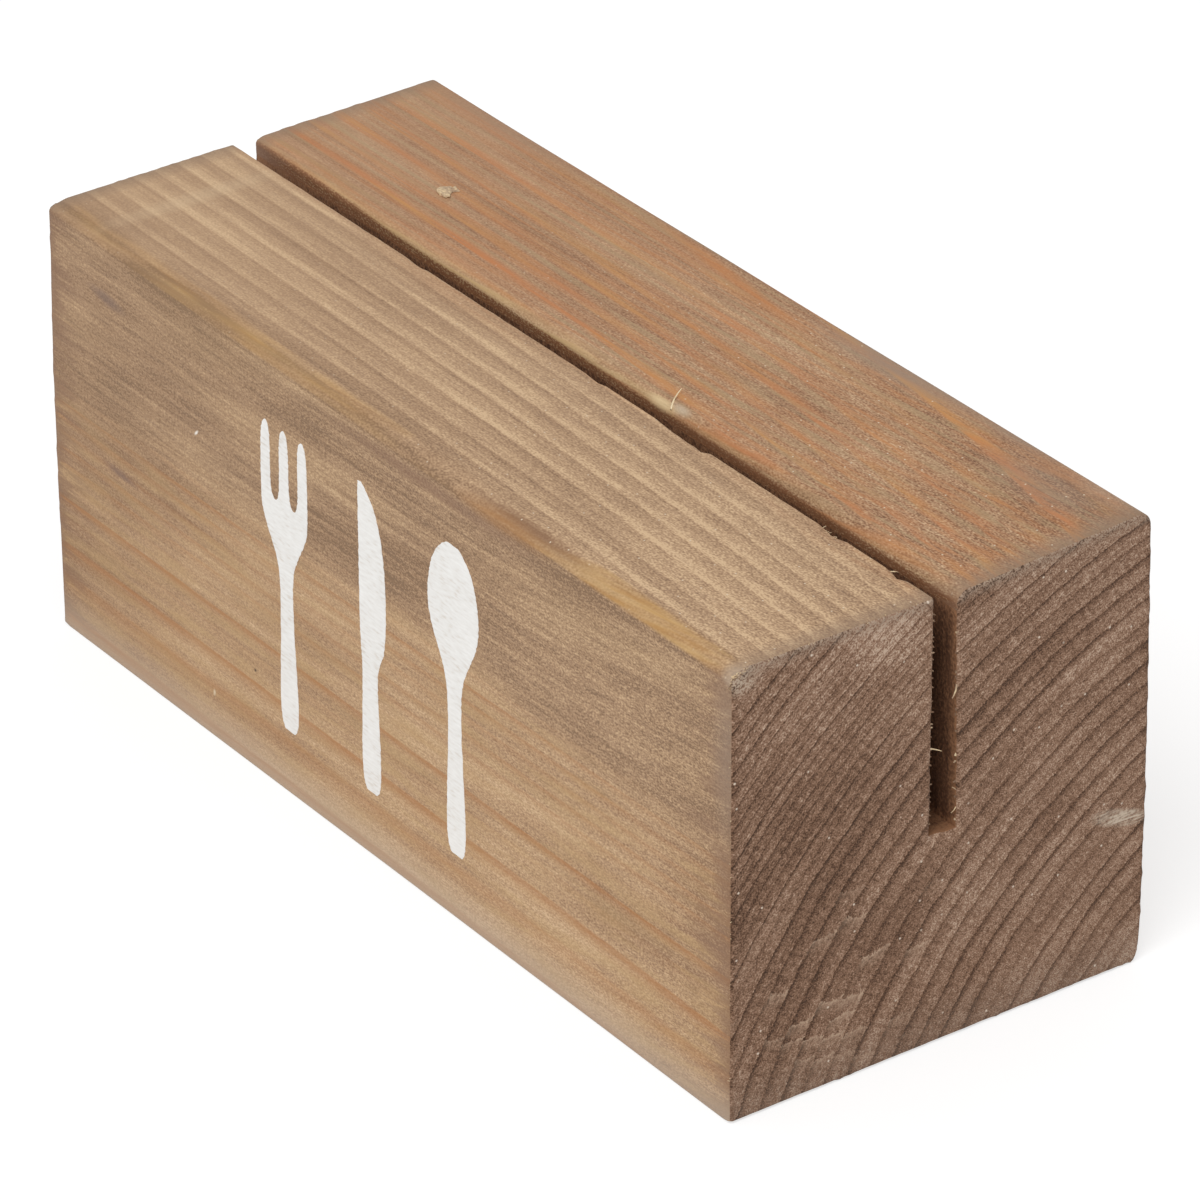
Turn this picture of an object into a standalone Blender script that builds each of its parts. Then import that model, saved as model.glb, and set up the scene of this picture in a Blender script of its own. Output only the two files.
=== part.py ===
"""Table card holder: one block of planed softwood with a saw slot along its top that grips a card.

Metres, +Z up. X runs along the block, the front face looks to -Y, and the origin is the middle of the underside.
"""

import math

import bmesh
import bpy
from mathutils import Matrix, Vector

# Planed square stock, cross-cut to length
LENGTH = 0.100
WIDTH = 0.042
HEIGHT = 0.042

# Long edges, sanded by hand, so each is rounded by a different amount
FRONT_TOP_INSET = 0.0018
FRONT_TOP_DROP = 0.0009
REAR_TOP_RADIUS = 0.0012
FRONT_BOTTOM_RADIUS = 0.0005
REAR_BOTTOM_INSET = 0.0009
REAR_BOTTOM_RISE = 0.0045

# Saw slot for the card, open at both ends, with its mouth rubbed most on the rear lip
SLOT_WIDTH = 0.0028
SLOT_DEPTH = 0.0220
FRONT_LIP_RADIUS = 0.0003
REAR_LIP_RADIUS = 0.0010

# The rear jaw has drawn in since the saw cut, so the slot is narrowest at its mouth
JAW_LEAN = math.radians(1.5)

# Straight steps round each eased edge
ARC_STEPS = 8

# Brown stain that lets the wood show, with a dull finish
STAIN_COLOUR = (0.41, 0.25, 0.15, 1.0)
STAIN_ROUGHNESS = 0.7


def eased_corner(corner_y, corner_z, across, up, start):
    """Quarter ellipse in place of a sharp corner of the section, anticlockwise from the start angle."""
    middle = start + math.pi / 4
    centre_y = corner_y - math.copysign(across, math.cos(middle))
    centre_z = corner_z - math.copysign(up, math.sin(middle))
    points = []
    for step in range(ARC_STEPS + 1):
        angle = start + math.pi / 2 * step / ARC_STEPS
        points.append(Vector((centre_y + across * math.cos(angle), centre_z + up * math.sin(angle))))
    return points


def block_section():
    """Outline of the cross-section as (y, z) points, anticlockwise as seen from +X."""
    face = WIDTH / 2
    wall = SLOT_WIDTH / 2
    floor = HEIGHT - SLOT_DEPTH

    base = eased_corner(-face, 0.0, FRONT_BOTTOM_RADIUS, FRONT_BOTTOM_RADIUS, math.pi)
    base += eased_corner(face, 0.0, REAR_BOTTOM_INSET, REAR_BOTTOM_RISE, 1.5 * math.pi)
    bend = Vector((face, floor))

    # The rear jaw is drawn upright and then leaned about the slot's inner corner, where the wood bends
    rear_jaw = eased_corner(face, HEIGHT, REAR_TOP_RADIUS, REAR_TOP_RADIUS, 0.0)
    rear_jaw += eased_corner(wall, HEIGHT, REAR_LIP_RADIUS, REAR_LIP_RADIUS, 0.5 * math.pi)
    root = Vector((wall, floor))
    lean = Matrix.Rotation(JAW_LEAN, 2)
    rear_jaw = [root + lean @ (point - root) for point in rear_jaw]

    front_root = Vector((-wall, floor))
    front_jaw = eased_corner(-wall, HEIGHT, FRONT_LIP_RADIUS, FRONT_LIP_RADIUS, 0.0)
    front_jaw += eased_corner(-face, HEIGHT, FRONT_TOP_INSET, FRONT_TOP_DROP, 0.5 * math.pi)

    return base + [bend] + rear_jaw + [root, front_root] + front_jaw


def extruded_block(name, outline):
    """Object with the section swept along X from end to end."""
    shape = bmesh.new()
    ring = [shape.verts.new((-LENGTH / 2, y, z)) for y, z in outline]
    far_end = shape.faces.new(ring)
    swept = bmesh.ops.extrude_face_region(shape, geom=[far_end])
    near_ring = [item for item in swept["geom"] if isinstance(item, bmesh.types.BMVert)]
    bmesh.ops.translate(shape, verts=near_ring, vec=(LENGTH, 0.0, 0.0))
    bmesh.ops.recalc_face_normals(shape, faces=shape.faces)

    mesh = bpy.data.meshes.new(name)
    shape.to_mesh(mesh)
    shape.free()
    mesh.shade_smooth()
    mesh.set_sharp_from_angle(angle=math.radians(30.0))

    block = bpy.data.objects.new(name, mesh)
    bpy.context.scene.collection.objects.link(block)
    return block


def stained_softwood():
    """Planed spruce or pine under a thin brown stain."""
    material = bpy.data.materials.new("stained_softwood")
    material.use_nodes = True
    shader = material.node_tree.nodes["Principled BSDF"]
    shader.inputs["Base Color"].default_value = STAIN_COLOUR
    shader.inputs["Roughness"].default_value = STAIN_ROUGHNESS
    shader.inputs["Metallic"].default_value = 0.0
    return material


for old in list(bpy.data.objects):
    bpy.data.objects.remove(old)

holder_block = extruded_block("holder_block", block_section())
holder_block.data.materials.append(stained_softwood())
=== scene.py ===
"""Looks of a table card holder: one block of planed, brown-stained softwood with a saw slot along its top.

Metres, +Z up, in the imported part's frame: X runs along the block, and the front face looks to -Y.
"""

import math

import bmesh
import bpy
import numpy as np
from mathutils import Matrix, Vector, noise


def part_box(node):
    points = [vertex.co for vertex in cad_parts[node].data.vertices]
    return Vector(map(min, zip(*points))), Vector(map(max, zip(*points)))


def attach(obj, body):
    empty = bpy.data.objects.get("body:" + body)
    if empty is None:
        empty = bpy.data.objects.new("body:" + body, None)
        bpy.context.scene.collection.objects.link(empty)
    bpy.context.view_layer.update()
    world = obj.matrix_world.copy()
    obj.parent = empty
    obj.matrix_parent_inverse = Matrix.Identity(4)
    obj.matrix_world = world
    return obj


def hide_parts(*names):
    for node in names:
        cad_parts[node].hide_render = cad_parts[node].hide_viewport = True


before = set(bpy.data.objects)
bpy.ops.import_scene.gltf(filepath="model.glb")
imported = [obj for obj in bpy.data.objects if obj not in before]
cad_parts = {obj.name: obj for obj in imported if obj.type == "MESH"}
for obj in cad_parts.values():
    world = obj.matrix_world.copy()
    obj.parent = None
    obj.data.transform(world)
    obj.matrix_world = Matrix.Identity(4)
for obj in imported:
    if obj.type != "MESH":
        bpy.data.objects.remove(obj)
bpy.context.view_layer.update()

# The block: spruce planed square, cross-cut to length and sawn down its top for the card, all one
# piece of wood. Sanding eased each long edge by a different amount, and the rear jaw has drawn in
# since the saw cut. Lengths in this section are millimetres, and points within a hair count as touching.
MM = 0.001
HAIR = 0.01
low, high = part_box("holder_block")
LENGTH = (high.x - low.x) / MM
WIDTH = (high.y - low.y) / MM
HEIGHT = 42.0
NEAR, FRONT, REAR = LENGTH / 2, -WIDTH / 2, WIDTH / 2
SLOT_WALL = 1.4
SLOT_FLOOR = 20.0

bpy.ops.object.select_all(action="DESELECT")
bpy.ops.mesh.primitive_cube_add(
    size=MM, location=(0.0, 0.0, HEIGHT / 2 * MM), scale=(LENGTH, WIDTH, HEIGHT)
)
block = bpy.context.object
block.name = "stained_block"
bpy.ops.object.transform_apply(location=True, rotation=True, scale=True)


def scribe(axis, places):
    """Cuts a line right round the mesh in edit mode at each of these places along an axis."""
    for place in places:
        point, square_to = Vector(), Vector()
        point[axis] = place * MM
        square_to[axis] = 1.0
        bpy.ops.mesh.select_all(action="SELECT")
        bpy.ops.mesh.bisect(plane_co=point, plane_no=square_to, threshold=1e-7)


def pick(kind, wanted):
    """Selects only the faces or edges whose corner points, in millimetres, are wanted."""
    bpy.ops.mesh.select_mode(type=kind)
    bpy.ops.mesh.select_all(action="DESELECT")
    shape = bmesh.from_edit_mesh(bpy.context.object.data)
    for item in shape.faces if kind == "FACE" else shape.edges:
        if wanted(np.array([corner.co for corner in item.verts]) / MM):
            item.select_set(True)
    bmesh.update_edit_mesh(bpy.context.object.data)


# The slot is opened between scribed lines, and bridging its rims lines it with two walls and a floor
ACROSS = [-18.4, -2.2, -SLOT_WALL, SLOT_WALL, 2.6, 18.4]
UP = [0.8, 5.2, SLOT_FLOOR, 39.2, 40.6]
bpy.ops.object.mode_set(mode="EDIT")
scribe(1, ACROSS)
scribe(2, UP)
pick("FACE", lambda p: abs(p[:, 1].mean()) < SLOT_WALL and p[:, 2].mean() > SLOT_FLOOR)
bpy.ops.mesh.delete(type="FACE")
pick("EDGE", lambda p: abs(p[:, 1]).max() < SLOT_WALL + HAIR and p[:, 2].min() > SLOT_FLOOR - HAIR
     and np.ptp(p[:, 0]) < HAIR)
bpy.ops.mesh.bridge_edge_loops()


def divide(axis, stations, counts):
    """Divides the runs between these stations along an axis into so many equal steps."""
    for start, stop, steps in zip(stations, stations[1:], counts):
        pick("EDGE", lambda p: abs(p[:, axis].min() - start) < HAIR and abs(p[:, axis].max() - stop) < HAIR)
        bpy.ops.mesh.subdivide(number_cuts=steps - 1)


# Finer lines give the eased edges, the sawn mouth and the worn ends enough points to be shaped by
END_ROW, END_ZONE = 49.7, 48.4
scribe(0, [-END_ROW, -END_ZONE, END_ROW, END_ZONE])
divide(0, [-END_ROW, -END_ZONE, END_ZONE, END_ROW], [2, 160, 2])
divide(1, [FRONT] + ACROSS + [REAR], [10, 29, 4, 6, 6, 28, 10])
divide(2, [0.0] + UP + [HEIGHT], [3, 9, 27, 35, 5, 8])
bpy.ops.mesh.select_all(action="SELECT")
bpy.ops.mesh.normals_make_consistent(inside=False)
bpy.ops.object.mode_set(mode="OBJECT")


def read_places(items, field):
    """Reads a place of each of a mesh's items, as rows of x, y and z in metres."""
    values = np.empty(len(items) * 3)
    items.foreach_get(field, values)
    return values.reshape(-1, 3)


mesh = block.data
x, y, z = read_places(mesh.vertices, "co").T / MM
along = x / LENGTH + 0.5
on_end = abs(x) > NEAR - HAIR
on_front = y < FRONT + HAIR
on_rear = y > REAR - HAIR
on_top = z > HEIGHT - HAIR
on_base = z < HAIR
in_slot = (abs(y) < SLOT_WALL + HAIR) & (z > SLOT_FLOOR - HAIR)

# Faces keep the finish of how they were cut: planed sides, sawn ends and a sawn slot with a rubbed rear lip
PLANED, SAWN_END, SAWN_SLOT = 0, 1, 2
RUBBED_LIP = 1.7
mid_x, mid_y, mid_z = read_places(mesh.polygons, "center").T / MM
slot_top = HEIGHT - np.where(mid_y > 0.0, RUBBED_LIP, HAIR)
cuts = np.full(len(mesh.polygons), PLANED)
cuts[(abs(mid_y) < SLOT_WALL + HAIR) & (mid_z > SLOT_FLOOR - HAIR) & (mid_z < slot_top)] = SAWN_SLOT
cuts[abs(mid_x) > NEAR - HAIR] = SAWN_END
mesh.polygons.foreach_set("material_index", cuts)


def ripple(size, seed):
    """Smooth random waves of about this size along each axis over the block's points, from -1 to 1."""
    shift = Vector((seed * 7.3, seed * 3.1, seed * 5.7))
    length, width, height = size
    return np.array([
        noise.noise(Vector((a / length, b / width, c / height)) + shift) for a, b, c in zip(x, y, z)
    ])


hand = ripple((18.0, 60.0, 60.0), seed=1)
fray = ripple((1.6, 9.0, 9.0), seed=2)
end_wear = 0.13 + 0.07 * ripple((9.0, 1.7, 1.7), seed=3)


def by_hand(far, near, waver):
    """A size that changes evenly from the far end to the near one and wavers as hand sanding does."""
    return far + (near - far) * along + waver * hand


def ease(y, z, corner, facing, reach, fullness):
    """Rounds a long edge over a reach across and up: fullness 2 is a quarter round, and 1 a flat chamfer."""
    (corner_y, corner_z), (side, rise), (across, up) = corner, facing, reach
    out_y = 1.0 + side * (y - corner_y) / across
    out_z = 1.0 + rise * (z - corner_z) / up
    near = (out_y > 0.0) & (out_z > 0.0) & (out_y < 1.01) & (out_z < 1.01)
    out_y, out_z = np.where(near, out_y, 0.5), np.where(near, out_z, 0.5)
    pull = np.maximum(out_y, out_z) / (out_y ** fullness + out_z ** fullness) ** (1.0 / fullness)
    eased_y = np.where(near, corner_y - side * across * (1.0 - out_y * pull), y)
    eased_z = np.where(near, corner_z - rise * up * (1.0 - out_z * pull), z)
    return eased_y, eased_z


# Materials need to know where each point lay before the edges were eased: how far over the chamfer, how far
# down the rear lip of the slot, and how far in from the edges of an end
chamfer_in, chamfer_down = by_hand(2.1, 1.6, 0.2), by_hand(0.6, 1.1, 0.1)
share_in, share_down = (y - FRONT) / chamfer_in, (HEIGHT - z) / chamfer_down
chamfered = 1.0 - np.maximum(share_in, share_down)
topmost = share_in - share_down
lip_down = np.where(in_slot & (y > 0.0), HEIGHT - z, 0.0)
crest = HEIGHT - z
rim = np.minimum(np.minimum(REAR - abs(y), z), crest)

# The front top edge is a slanting chamfer, shallow at the far end, and the rear lip of the slot a soft round
rear_round, foot_round = by_hand(0.8, 1.6, 0.15), by_hand(0.25, 0.25, 0.08)
rear_foot = by_hand(0.9, 0.9, 0.15), by_hand(4.5, 4.5, 0.5)
front_lip = 0.1 + 0.06 * fray, 0.13 + 0.08 * fray
rear_lip = 0.9 + 0.12 * fray, 0.6 + 0.6 * np.sqrt(abs(along)) + 0.15 * fray
for corner, facing, reach, fullness in [
    ((FRONT, HEIGHT), (-1, 1), (chamfer_in, chamfer_down), 1.35),
    ((REAR, HEIGHT), (1, 1), (rear_round, rear_round), 2.0),
    ((FRONT, 0.0), (-1, -1), (foot_round, foot_round), 2.0),
    ((REAR, 0.0), (1, -1), rear_foot, 2.0),
    ((-SLOT_WALL, HEIGHT), (1, 1), front_lip, 2.0),
    ((SLOT_WALL, HEIGHT), (-1, 1), rear_lip, 1.7),
]:
    y, z = ease(y, z, corner, facing, reach, fullness)

# The saw tore splinters out of the front lip of the slot: start, abrupt end and depth of each chip
CHIPS = [(3.4, 5.6, 0.14), (13.5, 20.0, 0.26), (35.6, 38.6, 0.22), (44.4, 45.6, 0.24), (-23.0, -20.4, 0.1)]
CHIP_IN, CHIP_DOWN = 0.5, 0.8
torn_lip = np.exp(-((y + SLOT_WALL) / CHIP_IN) ** 2 - ((z - HEIGHT) / CHIP_DOWN) ** 2) * (y < -CHIP_IN)
for start, stop, depth in CHIPS:
    opened = np.clip((x - start) / (stop - start), 0.0, 1.0) ** 0.6 * (x < stop)
    bite = torn_lip * depth * opened * (1.0 + 0.6 * fray)
    y = y - bite
    z = z - 0.7 * bite

# The rear jaw leans in over the slot and its top tips back, more at the near end, and its root bends
ROOT_LOW, ROOT_HIGH, TIP_Y = 14.0, 26.0, 6.5
ROOT = ROOT_HIGH - ROOT_LOW
LEAN_FAR, LEAN_GAIN = math.radians(1.0), math.radians(0.25)
TIP_FAR, TIP_GAIN, TIP_CURVE = math.radians(0.6), math.radians(2.9), 1.6
lean = LEAN_FAR + LEAN_GAIN * along
tip_back = TIP_FAR + TIP_GAIN * abs(along) ** TIP_CURVE
bend = np.clip((z - ROOT_LOW) / ROOT, 0.0, 1.0)
swept = lean * np.where(z > ROOT_HIGH, ROOT / 2 + z - ROOT_HIGH, ROOT * (bend ** 3 - bend ** 4 / 2))
rear_jaw = np.clip(y + 0.5, 0.0, 1.0)
y, z = y - rear_jaw * swept, z + rear_jaw * tip_back * (3.0 * bend ** 2 - 2.0 * bend ** 3) * (y - TIP_Y)

# The front face falls away a little at the far end, towards its top
FALL, FALL_LOW, FALL_HIGH, FALL_IN = 0.35, 20.0, 38.0, 6.0
falling = (1.0 - along) ** 2 * np.clip((z - FALL_LOW) / (FALL_HIGH - FALL_LOW), 0.0, 1.0) ** 2
y += FALL * falling * np.clip((FRONT + FALL_IN - y) / FALL_IN, 0.0, 1.0)

# Neither end was cut quite square, and the saw left the end grain uneven and its arrises worn, torn most
# along the base
NEAR_YAW, FAR_YAW = math.radians(0.83), math.radians(-0.32)
ARRIS_IN, BASE_TORN, BASE_ROW_TORN = 0.6, 2.0, 1.7
outward = np.sign(x)
arris = on_end & (on_front | on_rear | on_top | on_base | in_slot)
end_wear += 0.08 * ripple((9.0, 0.7, 0.7), seed=9)
torn_base = on_base & ~on_end & (abs(x) > END_ROW - HAIR)
z += BASE_ROW_TORN * torn_base * end_wear
uneven = 0.05 + 0.05 * ripple((9.0, 2.5, 2.5), seed=4) + 0.03 * ripple((9.0, 0.9, 0.9), seed=5)
x -= outward * on_end * uneven
x -= outward * arris * end_wear
y -= on_end * (on_rear * ARRIS_IN - on_front * ARRIS_IN) * end_wear
z -= on_end * (on_top * ARRIS_IN - on_base * BASE_TORN) * end_wear
x += along * NEAR_YAW * y + (1.0 - along) * FAR_YAW * y

# The near top corner of the front was knocked blunt
BLUNT, BLUNT_FROM, BLUNT_RUN = 1.3, 48.0, 2.0
knocked = np.exp(-((y - FRONT) ** 2 + (z - HEIGHT) ** 2) / BLUNT ** 2)
knocked *= np.clip((x - BLUNT_FROM) / BLUNT_RUN, 0.0, 1.0)
x -= 0.45 * knocked
z -= 0.2 * knocked
y += 0.15 * knocked

# Saw teeth left shallow upright scores down both walls of the slot
SCORE, SCORED_FROM = 0.04, 1.8
y += in_slot * ~on_end * (z < HEIGHT - SCORED_FROM) * SCORE * ripple((0.9, 9.0, 14.0), seed=6)

mesh.vertices.foreach_set("co", (np.stack([x, y, z], axis=1) * MM).ravel())
mesh.update()
bpy.ops.object.shade_smooth_by_angle(angle=math.radians(60.0))

# Growth rings: the pith ran well below and behind the block and drifts across it from end to end, so
# the rings lie steep on the front and sweep slantwise over the rear of the top. They are 1.7 mm wide at
# the heart, 0.8 mm in some lean years and 1.2 mm after. The tree grew faster to the front, so their centre
# shifts.
CORE_Y, CORE_Z, CORE_RADIUS = 46.7, -25.6, 40.0
SHIFT_Y, SHIFT_Z = -0.221, 0.0675
EVEN_DRIFT_Y, EVEN_DRIFT_Z, CURVED_DRIFT_Y, CURVED_DRIFT_Z = 0.5, 0.7, 2.1, 3.4
from_y = y - CORE_Y + EVEN_DRIFT_Y * (1.0 - along) + CURVED_DRIFT_Y * (1.0 - along ** 3)
from_z = z - CORE_Z + EVEN_DRIFT_Z * (1.0 - along) + CURVED_DRIFT_Z * (1.0 - along ** 3)
shifted = SHIFT_Y ** 2 + SHIFT_Z ** 2
ahead = from_y * SHIFT_Y + from_z * SHIFT_Z
half_b = ahead + shifted * CORE_RADIUS
squared = from_y ** 2 + from_z ** 2 + 2.0 * CORE_RADIUS * ahead + shifted * CORE_RADIUS ** 2
radius = (np.sqrt(half_b ** 2 + (1.0 - shifted) * squared) - half_b) / (1.0 - shifted)
bearing = radius.mean() * np.arctan2(from_z, -from_y)
HEART_RATE, LEAN_FROM, LEAN_MORE, BETTER_FROM, BETTER_LESS, TURN = 0.6, 70.0, 0.78, 79.0, 0.48, 1.2
growth = HEART_RATE * (radius - CORE_RADIUS)
growth += LEAN_MORE * np.logaddexp(0.0, (radius - LEAN_FROM) / TURN)
growth -= BETTER_LESS * np.logaddexp(0.0, (radius - BETTER_FROM) / TURN)

# Pale sapwood fills the corner between the slot and the front face, and the rest is warmer heartwood
SAP_SLANT_Y, SAP_SLANT_Z, SAP_WAVER, SAP_BLUR = -0.641, 0.769, 1.6, 4.0
sap_edge = SAP_SLANT_Z * (z - HEIGHT) + SAP_SLANT_Y * y + SAP_WAVER * ripple((28.0, 6.0, 6.0), seed=7)
sapwood = np.clip(0.5 + sap_edge / SAP_BLUR, 0.0, 1.0)

# Sanding rubbed the stain off the chamfer in patches, over all its height at first. From the middle of the
# block on the rub slants and widens, until it is clean through near the end.
RUB_X = [
    -50.0, -44.0, -38.0, -30.0, -25.0, -18.0, -11.0, -6.0, 1.0, 5.0, 16.0, 20.0, 25.0, 30.0, 44.0, 47.0, 49.0,
]
RUB = [0.0, 0.4, 0.25, 0.5, 0.25, 0.65, 0.35, 0.5, 0.4, 0.15, 0.15, 0.4, 0.85, 1.0, 1.0, 0.6, 0.1]
SLANT_FROM = 4.0
SLANT_X = [10.0, 22.0, 31.0]
SLANT = [-0.7, -0.1, 1.2]
RUB_BLUR, SLANT_BLUR, RUB_PATCHY = 0.16, 0.3, 0.35
rubbed = np.clip(0.5 + chamfered / RUB_BLUR, 0.0, 1.0)
slanting = np.clip((np.interp(x, SLANT_X, SLANT) - topmost) / SLANT_BLUR, 0.0, 1.0)
rubbed *= np.where(x < SLANT_FROM, 1.0, slanting)
rubbed *= np.clip(np.interp(x, RUB_X, RUB) + RUB_PATCHY * ripple((5.0, 1.2, 1.2), seed=8), 0.0, 1.0)

# The card's edge and the sander polished the rear lip of the slot; a pale line along its round is partly
# polish and partly painted highlight, and the lip darkens down into the cut, partly stain and partly painted
# shade
LIP_X = [-50.0, -46.0, -25.0, -5.0, 8.0, 12.0, 16.0, 50.0]
LIP = [0.2, 0.6, 1.1, 1.1, 0.7, 1.0, 0.4, 0.2]
LIP_Y, LIP_WIDTH, LIP_DEPTH = 1.1, 0.3, 1.4
lip_polish_and_highlight = np.interp(x, LIP_X, LIP) * np.exp(-(((y - LIP_Y) / LIP_WIDTH) ** 2)) * (z > HEIGHT - LIP_DEPTH)
# Partly painted shade: the rear lip darkens down into the cut from these depths along its length
MOUTH_X = [-50.0, -36.0, -28.0, 18.0, 26.0, 50.0]
MOUTH = [0.15, 0.2, 0.6, 0.7, 0.65, 0.75]
MOUTH_BLUR = 0.3
mouth_stain_and_shade = np.clip((lip_down - np.interp(x, MOUTH_X, MOUTH)) / MOUTH_BLUR, 0.0, 1.0)

for name, values in {
    "growth": growth, "sapwood": sapwood, "rubbed": rubbed, "lip_polish_and_highlight": lip_polish_and_highlight, "mouth_stain_and_shade": mouth_stain_and_shade, "rim": rim,
    "crest": crest,
}.items():
    mesh.attributes.new(name, "FLOAT", "POINT").data.foreach_set("value", values)
grain = np.stack([x, radius, bearing], axis=1)
mesh.attributes.new("grain", "FLOAT_VECTOR", "POINT").data.foreach_set("vector", grain.ravel())


def colour(code):
    """Linear RGBA of an sRGB hex colour."""
    parts = [int(code[place:place + 2], 16) / 255.0 for place in (1, 3, 5)]
    return [part / 12.92 if part <= 0.04045 else ((part + 0.055) / 1.055) ** 2.4 for part in parts] + [1.0]


def feed(tree, node, inputs):
    """Gives a shader node its input values, hex colours or links."""
    for place, value in inputs.items():
        if isinstance(value, bpy.types.Node):
            value = next(output for output in value.outputs if output.enabled)
        if isinstance(value, bpy.types.NodeSocket):
            tree.links.new(value, node.inputs[place])
        else:
            node.inputs[place].default_value = colour(value) if isinstance(value, str) else value


def add(tree, kind, inputs=None, stops=(), **settings):
    """Adds a shader node with its settings, its inputs, and a ramp's stops."""
    made = tree.nodes.new("ShaderNode" + kind)
    for name, value in settings.items():
        setattr(made, name, value)
    feed(tree, made, inputs or {})
    for number, (position, shade) in enumerate(stops):
        ramp = made.color_ramp.elements
        if number == 0:
            ramp.remove(ramp[1])
        stop = ramp.new(position) if number else ramp[0]
        stop.position = position
        stop.color = colour(shade) if isinstance(shade, str) else (shade, shade, shade, 1.0)
    return made


def begin(name):
    """Starts a material: itself, its node tree, its shader and the place on the piece in millimetres."""
    made = bpy.data.materials.new(name)
    made.use_nodes = True
    tree = made.node_tree
    metres = add(tree, "TexCoord").outputs["Object"]
    place = add(tree, "VectorMath", {0: metres, "Scale": 1.0 / MM}, operation="SCALE")
    return made, tree, tree.nodes["Principled BSDF"], place


def overlap(tree, masks):
    """How far several masks hold together: their product."""
    held = masks[0]
    for mask in masks[1:]:
        held = add(tree, "Math", {0: held, 1: mask}, operation="MULTIPLY")
    return held


def coats(tree, under, layers):
    """Lays colours over one another, each where all its masks hold."""
    for masks, shade in layers:
        held = overlap(tree, masks)
        under = add(tree, "Mix", {0: held, 6: under, 7: shade}, data_type="RGBA").outputs[2]
    return under


def deepen(tree, tone, layers):
    """Raises or lowers a tone by each layer's weight where all its masks hold."""
    for masks, weight in layers:
        held = overlap(tree, masks)
        tone = add(tree, "Math", {0: held, 1: weight, 2: tone}, operation="MULTIPLY_ADD")
    return tone


def mottle(tree, way, layers, tone=0.5):
    """Adds noise layers, each a size in millimetres, a detail and any weight, round a middle tone."""
    made = {}
    for name, (size, detail, weight) in layers.items():
        stretched = add(tree, "VectorMath", {0: way, 1: size}, operation="DIVIDE")
        made[name] = add(tree, "TexNoise", {"Vector": stretched, "Scale": 1.0, "Detail": detail})
        if weight is not None:
            centred = add(tree, "Math", {0: made[name], 1: 0.5}, operation="SUBTRACT")
            tone = deepen(tree, tone, [([centred], weight)])
    return tone, made


def growth_rings(tree, grain, wavers, profiles):
    """Adds the yearly rings: each profile by the place in the year, as strong as that year grew."""
    years = add(tree, "Attribute", attribute_name="growth").outputs["Fac"]
    for size, amount in wavers:
        stretched = add(tree, "VectorMath", {0: grain, 1: size}, operation="DIVIDE")
        wave = add(tree, "TexNoise", {"Vector": stretched, "Scale": 1.0, "Detail": 1.0})
        years = add(tree, "Math", {0: wave, 1: amount, 2: years}, operation="MULTIPLY_ADD")
    year = add(tree, "Math", {0: years}, operation="FRACT")
    number = add(tree, "Math", {0: years}, operation="FLOOR")
    vigour = add(tree, "TexWhiteNoise", {"W": number}, noise_dimensions="1D").outputs["Value"]
    made = []
    for least, spread, stops in profiles:
        strength = add(
            tree, "Math", {0: vigour, 1: spread, 2: least}, operation="MULTIPLY_ADD", use_clamp=True
        )
        made.append(overlap(tree, [add(tree, "ValToRGB", {0: year}, stops=stops), strength]))
    return made, number


def specks(tree, way, spacing, share, size):
    """Adds tiny round dots, in a share of cells so far apart, that fade out at a size in millimetres."""
    cells = add(tree, "TexVoronoi", {"Vector": way, "Scale": 1.0 / spacing}, voronoi_dimensions="2D")
    lot = add(tree, "SeparateXYZ", {0: cells.outputs["Color"]}).outputs["X"]
    chosen = add(tree, "Math", {0: lot, 1: share}, operation="LESS_THAN")
    dot = add(tree, "MapRange", {
        "Value": cells.outputs["Distance"], "From Min": 0.4 * size / spacing, "From Max": size / spacing,
        "To Min": 1.0, "To Max": 0.0,
    })
    return overlap(tree, [dot, chosen])


def smudge(tree, way, middle, half, turn=(0.0, 0.0, 0.0)):
    """Adds a soft patch, 1 at its middle and 0 at these half sizes in millimetres, turned in degrees."""
    inside = add(tree, "Mapping", {
        "Vector": way, "Location": middle, "Rotation": [math.radians(angle) for angle in turn], "Scale": half,
    }, vector_type="TEXTURE")
    off = add(tree, "VectorMath", {0: inside}, operation="LENGTH").outputs["Value"]
    return add(tree, "MapRange", {
        "Value": off, "From Min": 0.3, "From Max": 1.0, "To Min": 1.0, "To Max": 0.0,
    })


# Planed side grain under a thin brown stain: soft early wood drank more of it and is grey-brown, darkest
# where a year begins, and the hard late wood shows as pale lines in the sapwood and orange ones in the
# heartwood, all of it under long soft streaks and a nap of cut fibre. Fibres are about 0.03 mm thick, too
# fine to show, so the nap is drawn at 0.11 mm.
WAVER = ((60.0, 5.0, 9.0), 0.35)
planed, tree, shader, place = begin("planed_softwood_brown_stain")
at_x, at_y, at_z = add(tree, "SeparateXYZ", {0: place}).outputs
fibre = add(tree, "Attribute", attribute_name="grain").outputs["Vector"]
(pale, amber, red_line, early), _ = growth_rings(tree, fibre, [WAVER, ((12.0, 0.35, 0.45), 0.05)], [
    (0.6, 0.45, [
        (0.0, 0.3), (0.05, 0.0), (0.36, 0.0), (0.48, 0.3), (0.56, 0.2), (0.78, 0.95), (0.93, 1.0),
        (1.0, 0.3),
    ]),
    (0.4, 0.7, [(0.0, 0.35), (0.07, 0.0), (0.38, 0.0), (0.6, 0.35), (0.8, 0.95), (0.94, 1.0), (1.0, 0.35)]),
    (0.08, 0.8, [(0.0, 0.35), (0.06, 0.0), (0.45, 0.0), (0.7, 0.4), (0.86, 0.9), (0.95, 1.0), (1.0, 0.35)]),
    (0.6, 0.45, [(0.0, 0.7), (0.07, 0.9), (0.26, 0.0), (0.97, 0.0), (1.0, 0.7)]),
])

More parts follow.
